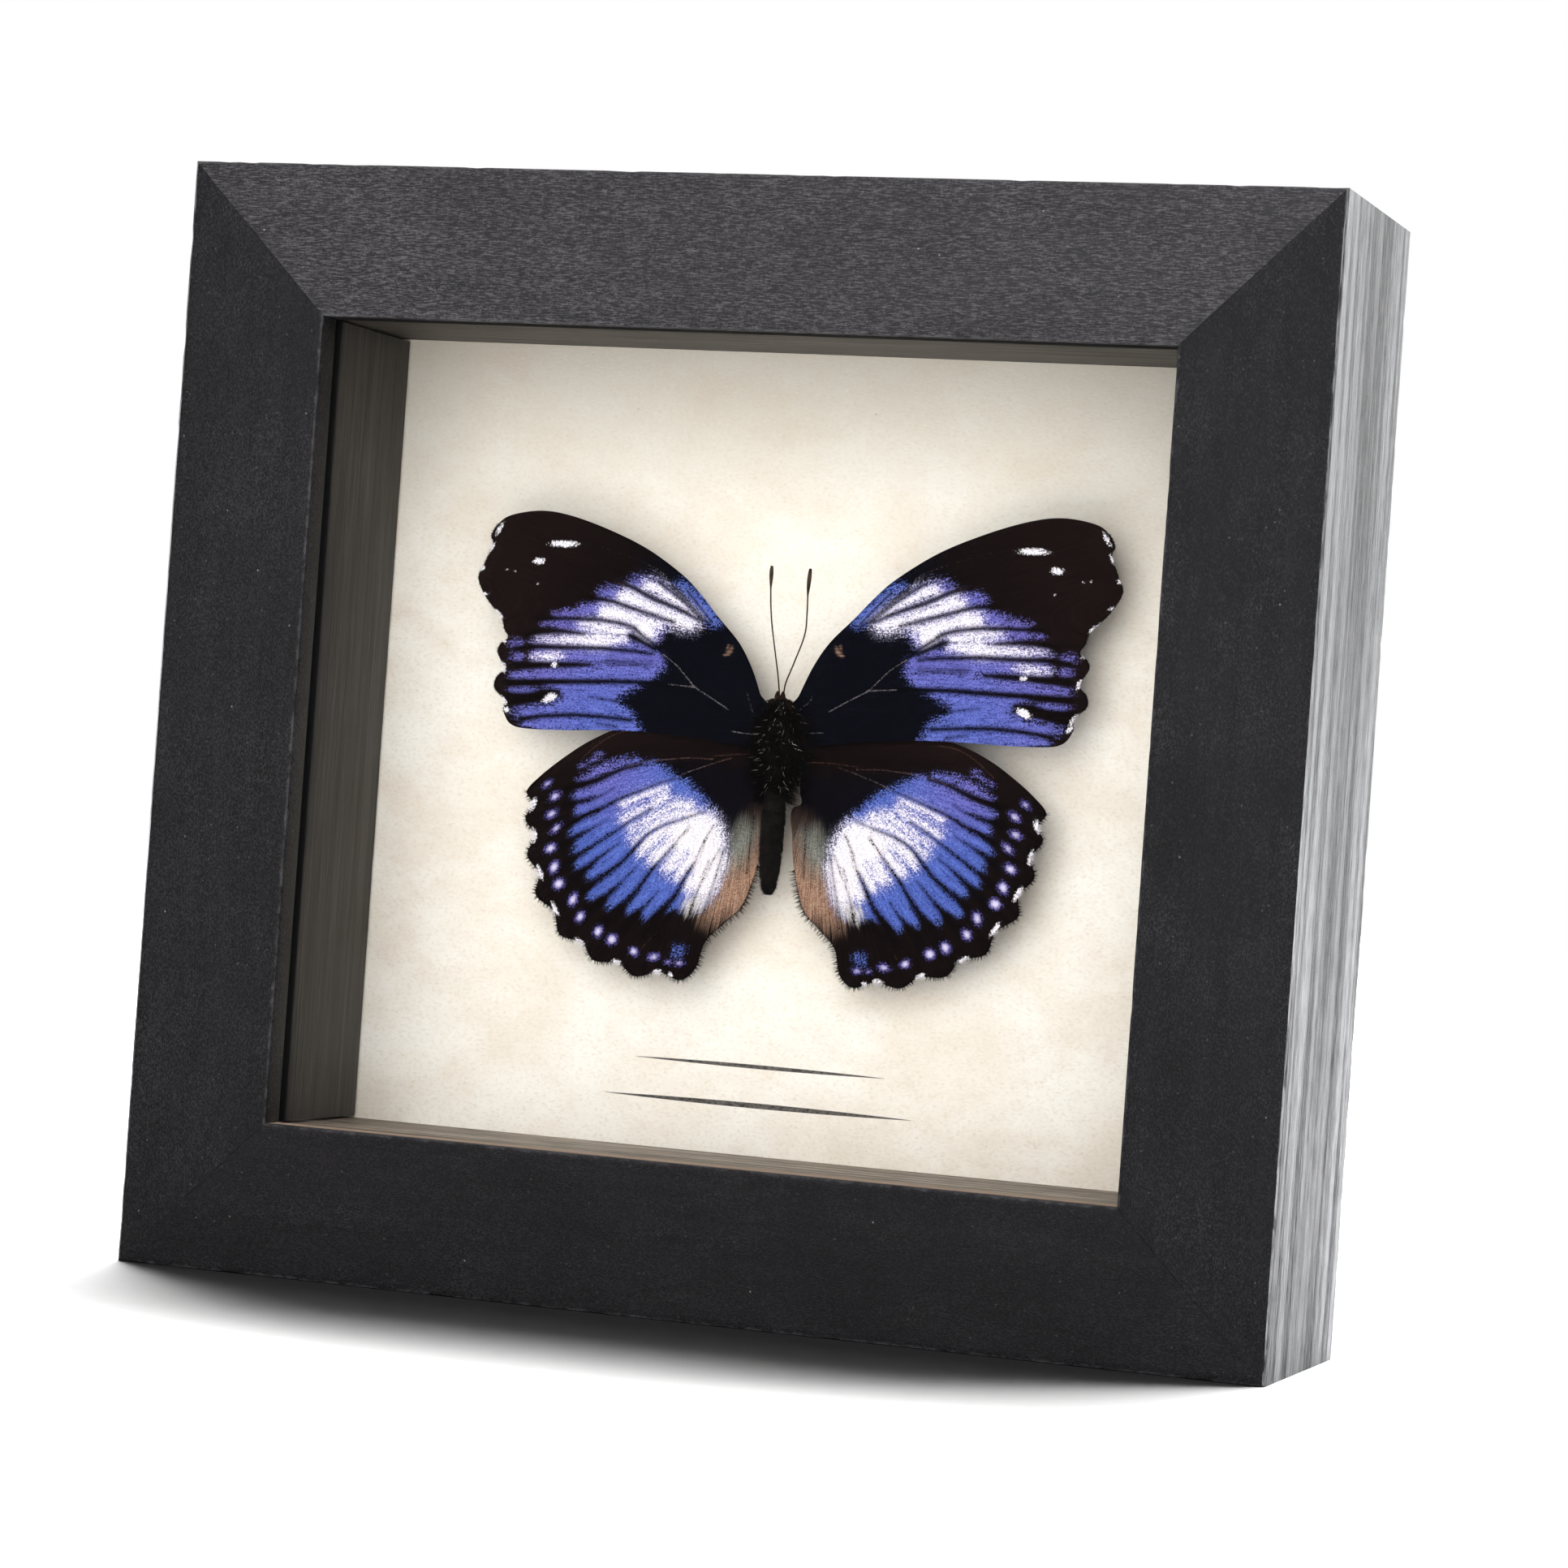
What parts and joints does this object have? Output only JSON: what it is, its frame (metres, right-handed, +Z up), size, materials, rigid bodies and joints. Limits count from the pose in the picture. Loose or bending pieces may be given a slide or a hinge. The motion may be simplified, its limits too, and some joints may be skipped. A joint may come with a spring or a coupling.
{
  "type": "framed butterfly specimen",
  "caption": "Black-stained wooden shadow-box frame with a glass front and a spread, mounted butterfly with blue, white and black wings on a cream card.",
  "frame": {"origin": "on the floor under the middle of the frame's box, with the frame standing on its bottom rail", "axes": "+Z up, +X to the right of a viewer who looks at the glass, -Y out of the glass towards the viewer"},
  "size_m": [0.15, 0.037, 0.141],
  "materials": {
    "frame_wood": "black stain, matte, worn at the edges",
    "spacer_wood": "thin dark brown stain",
    "clear_glass": "clear, polished",
    "card": "cream, mottled, matte",
    "back_board": "brown fibreboard",
    "point_steel": "bare steel",
    "hanger_steel": "zinc-plated",
    "foam": "cut foam",
    "insect_body": "dry, dark, covered in fine hairs",
    "wing_scales": "scaled membrane in black, white, blue and brown"
  },
  "bodies": {
    "root": {"frame_top_rail": "frame_wood", "frame_bottom_rail": "frame_wood", "frame_left_stile": "frame_wood", "frame_right_stile": "frame_wood", "glass_pane": "clear_glass", "spacer_top": "spacer_wood", "spacer_bottom": "spacer_wood", "spacer_left": "spacer_wood", "spacer_right": "spacer_wood", "mount_card": "card", "back_board": "back_board", "framers_point_top": "point_steel", "framers_point_bottom": "point_steel", "framers_point_left": "point_steel", "framers_point_right": "point_steel", "sawtooth_hanger": "hanger_steel", "hanger_nail_left": "hanger_steel", "hanger_nail_right": "hanger_steel", "mounting_block": "foam", "butterfly_body": "insect_body", "forewing_left": "wing_scales", "forewing_right": "wing_scales", "hindwing_left": "wing_scales", "hindwing_right": "wing_scales", "antenna_left": "insect_body", "antenna_right": "insect_body"}
  },
  "joints": []
}
